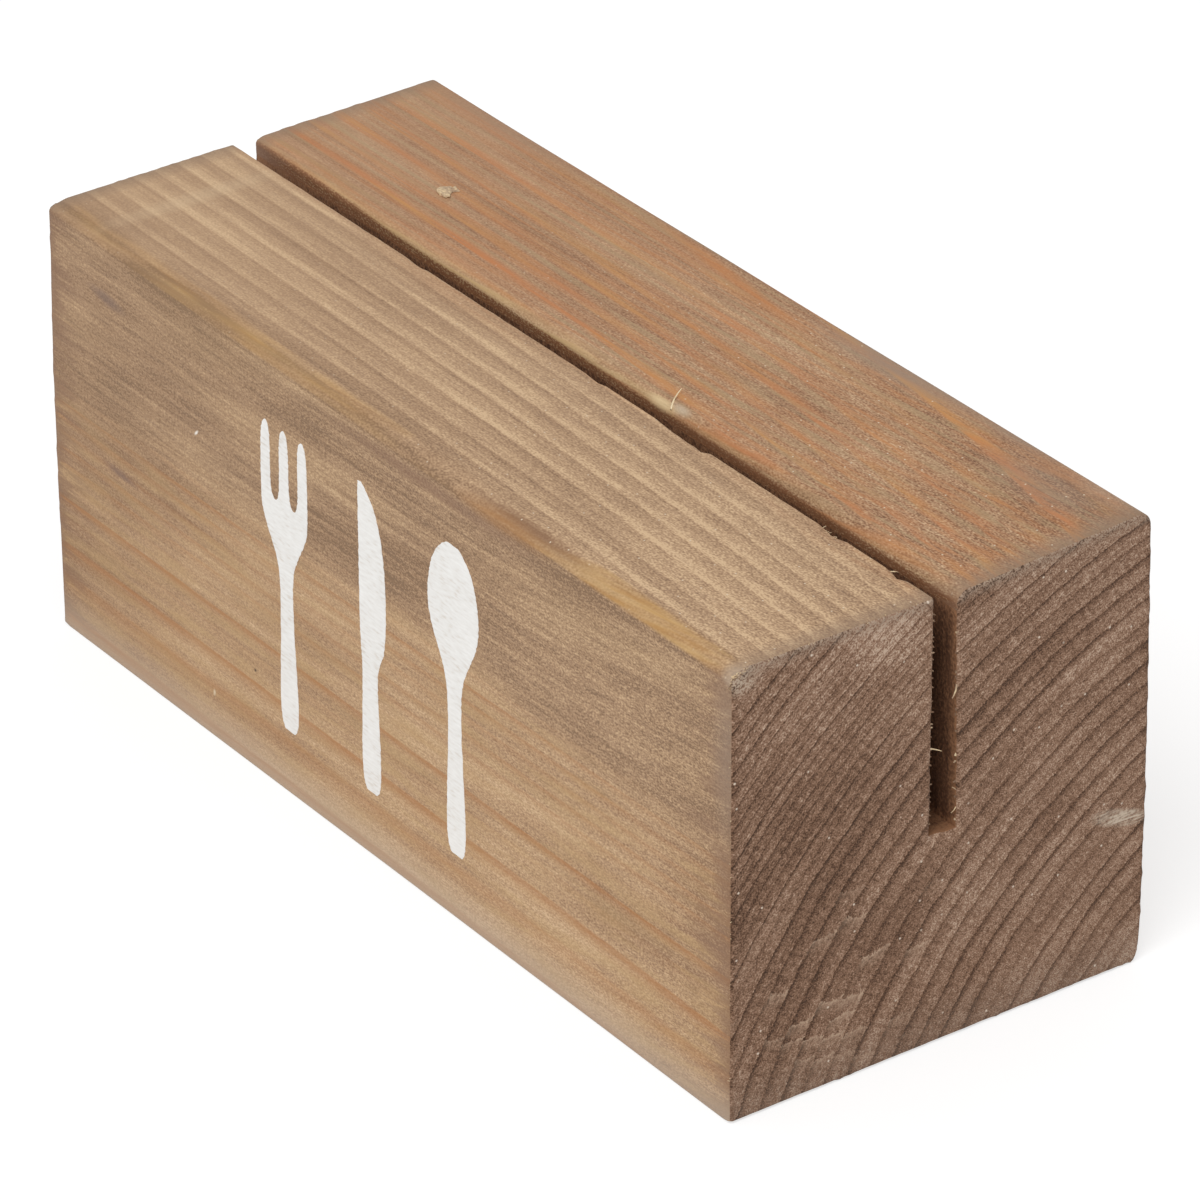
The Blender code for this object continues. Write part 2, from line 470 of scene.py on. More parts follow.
# Where a point lies: in sapwood or heartwood, on the top or an upright side, to the rear or to the front
sap = add(tree, "Attribute", attribute_name="sapwood").outputs["Fac"]
facing_up = add(tree, "SeparateXYZ", {0: add(tree, "NewGeometry").outputs["Normal"]}).outputs["Z"]
top_side = add(tree, "MapRange", {"Value": facing_up, "From Min": 0.3, "From Max": 0.9})
to_rear = add(tree, "MapRange", {"Value": at_y, "From Min": -18.0, "From Max": 2.0})
heart, upright, to_front = [
    add(tree, "Math", {0: 1.0, 1: mask}, operation="SUBTRACT") for mask in (sap, top_side, to_rear)
]
top_sap = overlap(tree, [sap, top_side])
front_sap = overlap(tree, [sap, upright])
top_heart = overlap(tree, [heart, top_side])

# The nap stands up more towards the near end, and more on the front than on the top
far_nap = add(tree, "MapRange", {"Value": upright, "To Min": 0.3, "To Max": 0.65})
nap = add(tree, "MapRange", {
    "Value": at_x, "From Min": -NEAR, "From Max": NEAR, "To Min": far_nap, "To Max": 1.15,
})
front_flecks = add(tree, "MapRange", {"Value": front_sap, "To Min": 0.3, "To Max": 0.7})
front_drifts = add(tree, "MapRange", {"Value": upright, "To Min": 0.6, "To Max": 1.2})
tone, layers = mottle(tree, fibre, {
    "fuzz": ((0.24, 0.11, 0.11), 0.0, overlap(tree, [nap, 1.3])),
    "strokes": ((5.0, 0.12, 0.12), 1.0, overlap(tree, [nap, 0.4])),
    "flecks": ((6.0, 0.3, 0.3), 1.0, front_flecks),
    "streaks": ((22.0, 0.6, 0.6), 1.0, 0.45),
    "drifts": ((42.0, 5.0, 5.0), 1.0, front_drifts),
    "chatter": ((2.6, 30.0, 30.0), 1.0, 0.12),
})
frayed, broken, worn = [
    add(tree, "MapRange", {
        "Value": layers["flecks"], "From Min": thin, "From Max": thick, "To Min": weak, "To Max": strong,
    })
    for thin, thick, weak, strong in (
        (0.35, 0.6, 0.75, 1.1), (0.4, 0.62, 0.35, 1.3), (0.35, 0.65, 0.55, 0.95),
    )
]

# Late wood lightens the sapwood, clearest on the near part of the top, early wood and the front darken it,
# and the polished lip of the slot is paler, partly as painted highlight
lying = add(tree, "MapRange", {"Value": top_side, "To Min": 0.2})
clear = add(tree, "MapRange", {"Value": at_x, "From Min": -NEAR, "From Max": 10.0, "To Min": 0.72})
drunk = add(tree, "MapRange", {"Value": top_sap, "To Min": -0.06, "To Max": -0.17})
# Polish of the rear lip, partly a painted highlight
polish_and_highlight_mask = overlap(tree, [add(tree, "Attribute", attribute_name="lip_polish_and_highlight").outputs["Fac"], broken])
tone = deepen(tree, tone, [
    ([pale, frayed, sap, lying, clear], 0.37), ([early], drunk), ([front_sap], -0.12), ([polish_and_highlight_mask], 0.2),
])

# The stain lies thicker towards both ends of the front, most in its lower part, and along the near end of
# the rear jaw
lower = add(tree, "MapRange", {
    "Value": at_z, "From Min": 36.0, "From Max": 10.0, "To Min": 0.15, "To Max": 1.0,
})
to_ends = add(tree, "Math", {0: at_x, 1: 1.0 / NEAR, 2: -0.04}, operation="MULTIPLY_ADD")
to_ends = add(tree, "Math", {0: to_ends}, operation="ABSOLUTE")
to_ends = add(tree, "Math", {0: to_ends, 1: 1.6}, operation="POWER")
thick_ends = add(tree, "Math", {0: to_ends, 1: -0.3, 2: 0.08}, operation="MULTIPLY_ADD")
thick_near = add(tree, "MapRange", {
    "Value": at_x, "From Min": -NEAR, "From Max": NEAR, "To Min": 0.09, "To Max": -0.13,
})
tone = deepen(tree, tone, [([lower, upright], thick_ends), ([to_rear, top_side], thick_near)])

# The stain was wiped on by hand and dried in paler and darker patches: change of tone, middle and half sizes
PATCHES = [
    (0.16, (30.0, 5.0, 42.0), (20.0, 8.0, 3.0)), (0.12, (34.0, -10.0, 42.0), (14.0, 8.0, 2.0)),
    (-0.17, (-13.0, -16.5, 42.0), (28.0, 6.5, 2.0)), (-0.3, (-25.0, -20.5, 40.5), (13.0, 2.0, 4.0)),
    (0.2, (30.0, -21.0, 29.0), (16.0, 2.0, 7.0)), (-0.3, (-40.0, -21.0, 20.0), (20.0, 2.0, 6.5)),
    (0.1, (-46.0, -21.0, 36.0), (6.0, 2.0, 4.0)), (-0.25, (48.0, -21.0, 20.0), (8.0, 2.0, 6.0)),
    (0.18, (22.0, -21.0, 10.0), (14.0, 2.0, 4.5)), (0.28, (16.0, -21.0, 1.0), (24.0, 2.0, 5.0)),
    (-0.15, (46.0, 15.0, 43.0), (9.0, 5.0, 3.0)), (-0.15, (30.0, -21.0, 39.5), (10.0, 2.0, 3.5)),
    (-0.25, (-20.0, -19.6, 42.0), (46.0, 1.9, 2.0)), (0.2, (30.0, -18.7, 42.0), (12.0, 1.1, 2.0)),
    (-0.3, (-34.0, -21.0, 41.2), (9.0, 1.2, 1.2)), (-0.2, (10.0, -20.2, 42.0), (8.0, 1.6, 2.0)),
    (-0.25, (-45.0, -18.9, 42.0), (10.0, 1.4, 2.0)),
]
tone = deepen(tree, tone, [([smudge(tree, place, *patch)], change) for change, *patch in PATCHES])

# The stain's browns from thick to thin: on the front, on the rear of the top and on sapwood
BROWNS = [
    ["#8F6E51", "#A48364", "#B69471", "#C3A27E", "#D5B691"],
    ["#714E35", "#8E684B", "#A57F60", "#B99574", "#D1B38F"],
    ["#83674D", "#9A7B5E", "#AB8B6C", "#BD9D7B", "#D0B18C"],
]
front_brown, rear_brown, sap_brown = [
    add(tree, "ValToRGB", {0: tone}, stops=zip((0.0, 0.25, 0.5, 0.75, 1.0), browns)) for browns in BROWNS
]

# Resin tints the late wood of the heart: thin red-brown lines on the front, soft broken orange ones on the
# rear top, yellower in places, with a creamy cast over the early wood
_, tints = mottle(tree, fibre, {
    "brush": ((14.0, 0.3, 0.3), 2.0, None),
    "hue": ((16.0, 1.2, 1.2), 1.0, None),
    "cream": ((9.0, 1.0, 1.0), 1.0, None),
    "cast": ((30.0, 0.42, 0.42), 1.0, None),
})
brushed = add(tree, "MapRange", {
    "Value": tints["brush"], "From Min": 0.35, "From Max": 0.65, "To Min": 0.25, "To Max": 1.25,
})
thin_line, soft_line = overlap(tree, [red_line, frayed]), overlap(tree, [amber, brushed])
orange_line = add(tree, "Mix", {0: to_rear, 2: thin_line, 3: soft_line})
yellower = add(tree, "MapRange", {"Value": tints["hue"], "From Min": 0.4, "From Max": 0.62})
rear_resin = coats(tree, "#B8794C", [([yellower], "#BD874F")])
resin = coats(tree, "#A97446", [([to_rear], rear_resin)])
creamy = add(tree, "MapRange", {"Value": tints["cream"], "From Min": 0.45, "From Max": 0.7, "To Max": 0.4})
grey_cast, red_cast = [
    add(tree, "MapRange", {"Value": tints["cast"], "From Min": weak, "From Max": full, "To Max": 0.58})
    for weak, full in ((0.5, 0.3), (0.52, 0.75))
]
wash = add(tree, "MapRange", {"Value": layers["drifts"], "From Min": 0.45, "From Max": 0.75, "To Max": 0.2})

# The rubbed chamfer shows golden wood, and the mouth of the slot is stippled with the dark of the cut, partly
# stain and partly painted shade
smeared = add(tree, "MapRange", {
    "Value": tints["hue"], "From Min": 0.35, "From Max": 0.6, "To Min": 0.7, "To Max": 1.05,
})
ochre = overlap(tree, [add(tree, "Attribute", attribute_name="rubbed").outputs["Fac"], worn, smeared])
richer = add(tree, "MapRange", {"Value": tints["brush"], "From Min": 0.33, "From Max": 0.67})
golden = coats(tree, "#AA7F4A", [([richer], "#BF9B68")])
stipple = add(tree, "MapRange", {
    "Value": layers["fuzz"], "From Min": 0.3, "From Max": 0.7, "To Min": 1.5, "To Max": 0.5,
})
# Partly painted shade: the dark of the cut down the mouth of the slot
cut_stain_and_shade = add(tree, "Attribute", attribute_name="mouth_stain_and_shade").outputs["Fac"]
brown = coats(tree, front_brown, [
    ([to_rear], rear_brown),
    ([sap], sap_brown),
    ([creamy, heart, upright, to_front], "#BC9B6C"),
    ([grey_cast, top_heart], "#A58C69"),
    ([red_cast, top_heart], "#B47B4E"),
    ([orange_line, heart, 0.9], resin),
    ([wash, front_sap], "#A98A60"),
    ([ochre], golden),
    ([polish_and_highlight_mask, 0.6], "#C3A272"),
    ([cut_stain_and_shade, stipple], "#865B3D"),
])

# Close to each end of the upright sides the open cells drew stain in, which leaves dark strokes along the
# grain
from_end = add(tree, "Math", {0: at_x}, operation="ABSOLUTE")
from_end = add(tree, "Math", {0: NEAR, 1: from_end}, operation="SUBTRACT")
soaked, _ = mottle(tree, fibre, {
    "blots": ((5.0, 1.3, 1.3), 2.0, 1.5),
    "strokes": ((3.0, 0.2, 0.2), 1.0, 1.0),
})
drawn_to = add(tree, "MapRange", {
    "Value": soaked, "From Min": 0.3, "From Max": 0.8, "To Min": 1.2, "To Max": 8.0,
})
drawn_in = add(tree, "MapRange", {"Value": from_end, "From Max": drawn_to, "To Min": 0.75, "To Max": 0.0})
brown = coats(tree, brown, [([drawn_in, upright], "#866650")])

# Handling left its marks, such as grey rubs, a dark stain over the chamfer and bare specks: colour and
# strength of each, its middle and half sizes, and any turn in degrees
MARKS = [
    ("#75615A", 0.55, (-40.5, -21.0, 36.5), (3.4, 4.0, 0.8), (0.0, 4.0, 0.0)),
    ("#75615A", 0.55, (-39.0, -21.0, 20.0), (3.2, 4.0, 0.55), (0.0, 2.0, 0.0)),
    ("#F1EADF", 1.0, (-26.5, -21.0, 29.6), (0.5, 1.0, 0.17), (0.0, -45.0, 0.0)),
    ("#4A3526", 1.0, (-18.3, -21.0, 10.0), (0.28, 1.0, 0.2), (0.0, -30.0, 0.0)),
    ("#DCCBAF", 0.8, (-25.0, -21.0, 4.6), (0.25, 1.0, 0.45), (0.0, 10.0, 0.0)),
    ("#7B583E", 0.75, (21.5, -20.2, 41.8), (10.0, 0.9, 1.2)),
    ("#9C7046", 0.7, (19.0, -21.0, 41.2), (8.0, 1.3, 1.1)),
    ("#94806F", 0.5, (50.0, -21.0, 34.0), (3.5, 2.0, 10.0)),
    ("#84644F", 0.55, (8.0, -21.0, 40.0), (19.0, 1.0, 0.9)),
    ("#CDB290", 0.35, (-43.0, -10.0, 42.0), (1.5, 12.0, 2.0)),
    ("#DCC296", 0.9, (10.4, 1.2, 41.6), (2.5, 0.4, 1.2)),
    ("#C4B49C", 0.6, (12.7, 1.45, 41.8), (1.6, 0.5, 1.2)),
    ("#BFAD98", 0.75, (49.9, -20.6, 41.5), (2.0, 1.7, 1.4)),
    ("#B97A48", 0.7, (-3.0, 18.3, 42.5), (15.0, 0.9, 2.0), (0.0, 0.0, -6.0)),
    ("#9A7B63", 0.55, (29.0, 19.7, 42.8), (16.0, 1.8, 2.0)),
    ("#B1937A", 0.5, (46.0, 19.6, 43.0), (6.0, 1.8, 3.0)),
    ("#94806F", 0.4, (42.0, 16.5, 43.0), (9.0, 3.5, 3.0)),
    ("#9A7B63", 0.5, (-38.0, 19.8, 42.2), (16.0, 2.2, 2.0)),
    ("#95806E", 0.7, (18.0, 19.4, 42.6), (12.0, 2.6, 2.0)),
    ("#95806E", 0.5, (35.0, 19.9, 42.9), (6.0, 1.4, 2.0)),
]
brown = coats(tree, brown, [
    ([smudge(tree, place, *mark), frayed, strength], shade) for shade, strength, *mark in MARKS
])

# The upright sides are paler towards the foot, a painted light that lifts the shade of the downward-facing
# edge; the arrises of the top are fuzzy, and tiny pale specks are painted glints of raised fibre ends where
# the stain isn't rubbed
FOOT, FUZZY_ARRIS = 4.0, 2.4
# Painted light: paler towards the foot of the upright sides
painted_foot_light = add(tree, "MapRange", {"Value": at_z, "From Max": FOOT, "To Min": 0.7, "To Max": 0.0})
fuzzy = add(tree, "MapRange", {"Value": from_end, "From Max": FUZZY_ARRIS, "To Min": 0.85, "To Max": 0.0})
# Painted highlights: tiny pale glints on the top, more of them towards the near end
painted_glints = specks(tree, place, spacing=2.2, share=0.4, size=0.1)
glint_density = add(tree, "MapRange", {"Value": at_x, "From Min": -30.0, "From Max": 25.0, "To Min": 0.25})
unrubbed = add(tree, "Math", {0: 1.0, 1: ochre}, operation="SUBTRACT", use_clamp=True)
brown = coats(tree, brown, [
    ([painted_foot_light, upright], "#B7A593"),
    ([fuzzy, frayed, top_side], "#8E7661"),
    ([painted_glints, glint_density, top_side, unrubbed], "#D8C6AE"),
])
relief = add(tree, "Math", {0: pale, 1: 0.4, 2: layers["strokes"]}, operation="MULTIPLY_ADD")
bump = add(tree, "Bump", {"Height": relief, "Strength": 0.6, "Distance": 0.04 * MM})
dull = add(tree, "Math", {0: layers["flecks"], 1: 0.3, 2: 0.55}, operation="MULTIPLY_ADD")
feed(tree, shader, {"Base Color": brown, "IOR": 1.4, "Roughness": dull, "Normal": bump})

# Sawn end grain: it drank the most stain, so it is a darker, duller brown, with the late wood as thin dark
# lines that darken slowly and stop short, open cell ends as a speckle and pale torn fibres. Cells are about
# 0.03 mm wide, too fine to show, so the speckle is drawn at 0.12 mm.
THROUGH = 60.0
sawn_end, tree, shader, place = begin("sawn_end_grain_brown_stain")
_, at_y, at_z = add(tree, "SeparateXYZ", {0: place}).outputs
fibre = add(tree, "Attribute", attribute_name="grain").outputs["Vector"]
wavers = [WAVER, ((THROUGH, 0.22, 0.22), 0.2), ((THROUGH, 0.7, 2.2), 0.18)]
(line,), year = growth_rings(tree, fibre, wavers, [
    (0.4, 0.8, [
        (0.0, 0.1), (0.05, 0.0), (0.5, 0.0), (0.72, 0.22), (0.85, 0.65), (0.92, 1.0), (0.97, 0.95),
        (1.0, 0.1),
    ]),
])
tone, layers = mottle(tree, fibre, {
    "grit": ((THROUGH, 0.12, 0.12), 0.0, 1.0),
    "crumbs": ((THROUGH, 0.3, 0.5), 1.0, 0.7),
    "bands": ((THROUGH, 1.1, 14.0), 1.0, 0.4),
    "rays": ((THROUGH, 3.0, 0.28), 1.0, 0.35),
    "zones": ((THROUGH, 4.5, 18.0), 1.0, 0.5),
}, tone=0.6)
whole = add(tree, "MapRange", {
    "Value": layers["crumbs"], "From Min": 0.3, "From Max": 0.6, "To Min": 0.45, "To Max": 1.2,
})
line = overlap(tree, [line, whole])
any_edge, top_edge = [
    add(tree, "MapRange", {
        "Value": add(tree, "Attribute", attribute_name=name).outputs["Fac"],
        "From Min": 0.1, "From Max": inner, "To Min": 1.0, "To Max": 0.0,
    })
    for name, inner in (("rim", 0.8), ("crest", 1.3))
]
tone = deepen(tree, tone, [([line], -0.45), ([any_edge], -0.12)])

# Stain pooled along the front of the cut and round the foot of the slot: change of tone, middle and half
# sizes
POOL_TURN = (-20.0, 0.0, 0.0)
POOLS = [
    (-0.12, (50.0, -11.0, 23.0), (20.0, 9.0, 13.0)), (-0.05, (50.0, 1.0, 26.0), (20.0, 9.0, 9.0)),
    (0.03, (50.0, -15.0, 37.0), (20.0, 12.0, 6.0)), (-0.1, (50.0, -14.0, 7.0), (20.0, 12.0, 8.0)),
    (0.12, (50.0, 12.5, 22.5), (20.0, 7.0, 5.0)), (-0.18, (50.0, -4.5, 13.0), (20.0, 6.5, 10.0)),
    (0.14, (50.0, 14.0, 3.0), (20.0, 11.0, 6.0)), (0.3, (50.0, -5.0, 40.0), (20.0, 6.0, 4.5)),
    (-0.15, (50.0, 20.0, 31.5), (20.0, 3.0, 3.0)), (-0.12, (50.0, -20.5, 17.0), (20.0, 3.0, 6.0)),
]
tone = deepen(tree, tone, [([smudge(tree, place, *pool, POOL_TURN)], change) for change, *pool in POOLS])
brown = add(tree, "ValToRGB", {0: tone}, stops=[
    (0.0, "#422B1B"), (0.25, "#664936"), (0.5, "#866650"), (0.66, "#987862"), (0.8, "#AA8B75"),
    (1.0, "#C8AE98"),
])

# The saw tore small pale ledges across single rings low on the front side, 1.6 mm apart: each ring has them
# at its own height, ragged and tilted. Each is brightest in a thin band along its top edge, a painted
# highlight where that edge catches the light
LEDGES_PER_MM = 0.62
own_height = add(tree, "TexWhiteNoise", {"W": year}, noise_dimensions="1D").outputs["Value"]
level, _ = mottle(tree, place, {
    "tilt": ((90.0, 2.2, 2.2), 0.0, 0.8), "ragged": ((90.0, 0.16, 0.5), 1.0, 0.5),
}, tone=own_height)
level = add(tree, "Math", {0: at_z, 1: LEDGES_PER_MM, 2: level}, operation="MULTIPLY_ADD")
shelf = add(tree, "CombineXYZ", {0: year, 1: add(tree, "Math", {0: level}, operation="FLOOR")})
chance = add(tree, "TexWhiteNoise", {"Vector": shelf}, noise_dimensions="2D").outputs["Value"]
torn_out = add(tree, "Math", {0: chance, 1: 0.3}, operation="LESS_THAN")
# Painted highlight: the ramp's brightest band lies along each ledge's top edge
ledge = add(tree, "ValToRGB", {0: add(tree, "Math", {0: level}, operation="FRACT")}, stops=[
    (0.0, 0.0), (0.3, 0.05), (0.86, 0.45), (0.91, 1.0), (0.98, 1.0), (1.0, 0.0),
])
low_front = smudge(tree, place, (50.0, -10.0, 9.5), (20.0, 13.0, 11.0))

# Something scuffed the rear side, the end is darker towards its base, and the top edge and the blunt corner
# are fuzzy
scuff = smudge(tree, place, (50.0, 18.3, 14.8), (9.0, 3.7, 0.95), (-17.0, 0.0, 0.0))
scraped, _ = mottle(tree, place, {"scraped": ((9.0, 1.6, 0.13), 1.0, 3.2)}, tone=0.65)
scuff = add(tree, "Math", {0: scuff, 1: scraped}, operation="MULTIPLY", use_clamp=True)
corner = smudge(tree, place, (50.0, -20.4, 41.2), (9.0, 2.6, 2.0))
tufts = add(tree, "MapRange", {
    "Value": layers["grit"], "From Min": 0.35, "From Max": 0.6, "To Min": 0.2, "To Max": 1.3,
})
across_end = add(tree, "CombineXYZ", {0: at_y, 1: at_z})
torn = specks(tree, across_end, spacing=2.3, share=0.2, size=0.13)
darker_base = add(tree, "MapRange", {"Value": at_z, "From Max": 5.0, "To Min": 1.0, "To Max": 0.0})
brown = coats(tree, brown, [
    ([darker_base, whole, 0.3], "#6F6257"),
    ([ledge, torn_out, low_front, whole], "#B89C84"),
    ([scuff, whole, 1.3], "#C9B7A3"),
    ([corner, tufts, whole, 0.8], "#B5A28E"),
    ([top_edge, tufts, whole, 0.75], "#A58F7C"),
    ([torn, whole, 1.2], "#D9C8B6"),
])
relief = add(tree, "Math", {0: layers["grit"], 1: 0.5, 2: layers["crumbs"]}, operation="MULTIPLY_ADD")
relief = add(tree, "Math", {0: line, 1: 0.5, 2: relief}, operation="MULTIPLY_ADD")
bump = add(tree, "Bump", {"Height": relief, "Strength": 0.9, "Distance": 0.1 * MM})
feed(tree, shader, {"Base Color": brown, "IOR": 1.4, "Roughness": 0.85, "Normal": bump})

# Sawn slot walls: a rough saw cut that soaked up stain, dark red-brown, with upright marks of the teeth and a
# fuzz of torn fibre, drawn at 0.22 mm because real fibres are too fine to show
sawn_slot, tree, shader, place = begin("sawn_slot_brown_stain")
spot = add(tree, "SeparateXYZ", {0: place})
tone, layers = mottle(tree, place, {
    "teeth": ((0.5, 3.0, 5.0), 1.0, 0.5),
    "fuzz": ((0.22, 0.22, 0.3), 1.0, 1.3),
    "stain": ((9.0, 5.0, 5.0), 1.0, 0.6),
})

# Painted light: it is paler at both ends, towards the mouth and on the floor, where light gets into the cut:
# the axis, where that starts and is full, and how much
PALER_WHERE_LIT = [
    ("X", 48.6, 50.0, 0.45), ("Z", 39.1, 40.5, 0.3), ("X", -30.0, -48.0, 0.35), ("Z", 20.6, 20.1, 0.35),
]
for axis, start, full, change in PALER_WHERE_LIT:
    lit_paler = add(tree, "MapRange", {"Value": spot.outputs[axis], "From Min": start, "From Max": full})
    tone = deepen(tree, tone, [([lit_paler], change)])
brown = add(tree, "ValToRGB", {0: tone}, stops=[(0.0, "#422718"), (0.5, "#64422C"), (1.0, "#93694A")])
relief = add(tree, "Math", {0: layers["teeth"], 1: layers["fuzz"]}, operation="ADD")
bump = add(tree, "Bump", {"Height": relief, "Strength": 0.9, "Distance": 0.12 * MM})
feed(tree, shader, {"Base Color": brown, "IOR": 1.4, "Roughness": 0.85, "Normal": bump})

for cut_face in (planed, sawn_end, sawn_slot):
    mesh.materials.append(cut_face)

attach(block, "root")
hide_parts("holder_block")

# Loose fibres: slivers of bare wood that the saw and the sander left hanging on the block, and one flat crumb
# stuck in the stain on the rear jaw. Each sliver is a thin bent splinter, thickest at its root, which sits in
# the wood: its root, tip and thickness in millimetres, and how bare of stain it is.
SLIVERS = [
    ((11.78, 1.1, 41.4), (11.05, 2.75, 42.55), 0.2, 0.3),
    ((49.75, -1.5, 28.2), (50.05, -0.45, 27.75), 0.15, 0.1),
    ((49.75, 1.2, 33.3), (49.95, 0.6, 32.2), 0.2, -0.1),
    ((49.75, 1.35, 23.4), (49.95, 0.8, 23.9), 0.1, 0.0),
    ((49.75, 1.4, 21.8), (49.95, 0.75, 21.5), 0.1, 0.0),
    ((49.75, 1.5, 20.2), (50.0, 1.9, 19.6), 0.1, 0.0),
    ((44.3, -1.5, 41.85), (44.95, -1.1, 41.98), 0.13, 0.1),
]

# Ragged edges of the near end and of one chip in the front lip: start and stop of each row, how many slivers,
# their length, thickness and bareness. Those at the slot lean in over it.
RAGGED = [
    ((49.75, -1.45, 20.6), (49.75, -1.45, 41.2), 30, 0.28, 0.2, -0.5),
    ((49.75, 1.3, 20.6), (49.75, 1.0, 40.0), 13, 0.28, 0.2, -0.5),
    ((49.42, -20.2, 41.75), (49.68, -1.6, 41.82), 60, 0.34, 0.12, -0.2),
    ((49.72, 1.6, 41.45), (49.95, 19.0, 42.5), 45, 0.3, 0.12, -0.35),
    ((49.3, -20.9, 40.8), (49.45, -20.9, 26.0), 34, 0.25, 0.09, -0.1),
    ((49.45, -20.9, 25.0), (49.45, -20.9, 3.0), 40, 0.22, 0.09, -0.25),
    ((49.15, -20.7, 41.2), (49.3, -19.6, 41.6), 26, 0.45, 0.11, -0.1),
    ((49.2, -20.9, 40.2), (49.2, -20.6, 41.3), 18, 0.45, 0.1, -0.1),
    ((35.2, -1.6, 41.85), (38.4, -1.75, 41.8), 16, 0.4, 0.09, -0.15),
]
BESIDE_SLOT = 2.0

# The fibres and the edge of the ink stray by a vector noise that takes its draw from this seed
STRAY_SEED = 1
noise.seed_set(STRAY_SEED)
for start, stop, count, length, thickness, bareness in RAGGED:
    for number in range(count):
        stray = 2.0 * noise.noise_vector(Vector((number * 0.77, 3.0 * start[1], 0.5 + start[2])))
        root = Vector(start).lerp(Vector(stop), (number + 0.5 + 0.7 * stray.x) / count)
        lean_in = 0.8 * math.copysign(1.0, root.y) * (abs(root.y) < BESIDE_SLOT)
        out = Vector((0.7 + 0.5 * stray.x, stray.y - lean_in, stray.z))
        tip = root + length * (0.6 + 0.6 * abs(stray.y)) * out.normalized()
        SLIVERS.append((root, tip, thickness, bareness + 0.4 * stray.z))
bpy.ops.object.select_all(action="DESELECT")
bpy.ops.mesh.primitive_cone_add(
    vertices=6, radius1=0.5 * MM, radius2=0.2 * MM, depth=MM, location=(0.0, 0.0, 0.5 * MM)
)
pattern = bpy.context.object
bpy.ops.object.transform_apply(location=True, rotation=True, scale=True)
bpy.ops.object.mode_set(mode="EDIT")
scribe(2, [0.25, 0.5, 0.75])
bpy.ops.object.mode_set(mode="OBJECT")
BOW = 0.08
strays = []
for root, tip, thickness, bareness in SLIVERS:
    sliver = pattern.copy()
    sliver.data = pattern.data.copy()
    bpy.context.scene.collection.objects.link(sliver)
    run = Vector(tip) - Vector(root)
    turn = run.to_track_quat("Z", "Y")
    for vertex in sliver.data.vertices:
        bow = BOW * run.length * math.sin(math.pi * vertex.co.z / MM)
        bent = Vector((vertex.co.x * thickness + bow * MM, vertex.co.y * thickness, vertex.co.z * run.length))
        vertex.co = Vector(root) * MM + turn @ bent
    strays.append((sliver, bareness))
bpy.data.objects.remove(pattern)

# The crumb is two lobes of one thin flake: middle, half length, half width and half thickness of each
LOBES = [((-30.8, 8.15, 42.12), 1.15, 0.66, 0.18), ((-30.8, 9.1, 42.1), 0.52, 0.38, 0.14)]
FLAKE_TURN = math.radians(144.0)
CRUMBLE = 0.45
CRUMB_BARENESS = 0.1
for middle, half_length, half_width, half_thickness in LOBES:
    bpy.ops.object.select_all(action="DESELECT")
    bpy.ops.mesh.primitive_ico_sphere_add(
        subdivisions=4, radius=MM, rotation=(0.0, 0.0, FLAKE_TURN), location=Vector(middle) * MM,
        scale=(half_length, half_width, half_thickness),
    )
    bpy.ops.object.transform_apply(location=True, rotation=True, scale=True)
    lobe = bpy.context.object
    for vertex in lobe.data.vertices:
        crumble = noise.noise_vector(vertex.co / (CRUMBLE * MM))
        vertex.co += Vector((0.3 * crumble.x, 0.3 * crumble.y, 0.08 * crumble.z)) * MM
    strays.append((lobe, CRUMB_BARENESS))
bpy.ops.object.select_all(action="DESELECT")
for stray, bareness in strays:
    bare_of_stain = stray.data.attributes.new("bareness", "FLOAT", "POINT")
    bare_of_stain.data.foreach_set("value", [bareness] * len(stray.data.vertices))
    stray.select_set(True)
fibres = strays[0][0]
bpy.context.view_layer.objects.active = fibres
bpy.ops.object.join()
fibres.name = "loose_fibres"
bpy.ops.object.shade_smooth_by_angle(angle=math.radians(50.0))

# Bare torn softwood: dull cream fibres that took little stain or none
bare, tree, shader, place = begin("bare_torn_softwood")
tone, layers = mottle(tree, place, {
    "threads": ((0.3, 0.3, 0.3), 1.0, 1.0),
    "stain": ((4.0, 2.0, 2.0), 1.0, 1.2),
})
tone = deepen(tree, tone, [([add(tree, "Attribute", attribute_name="bareness").outputs["Fac"]], 1.0)])
cream = add(tree, "ValToRGB", {0: tone}, stops=[
    (0.0, "#7C604A"), (0.35, "#B49A7E"), (0.6, "#D6BD96"), (0.9, "#EBD7B3"),
])
bump = add(tree, "Bump", {"Height": layers["threads"], "Strength": 0.6, "Distance": 0.08 * MM})
feed(tree, shader, {"Base Color": cream, "Roughness": 0.85, "Normal": bump})
fibres.data.materials.clear()
fibres.data.materials.append(bare)
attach(fibres, "root")

# The printed mark: a film of white ink, screen-printed on the front, with a plain fork, knife and spoon.
# It lies a few hundredths of a millimetre proud of the wood and follows its surface.
MARK_X, MARK_Z = -0.6, 6.4
INK_FILM = 0.03
COLUMNS = 5

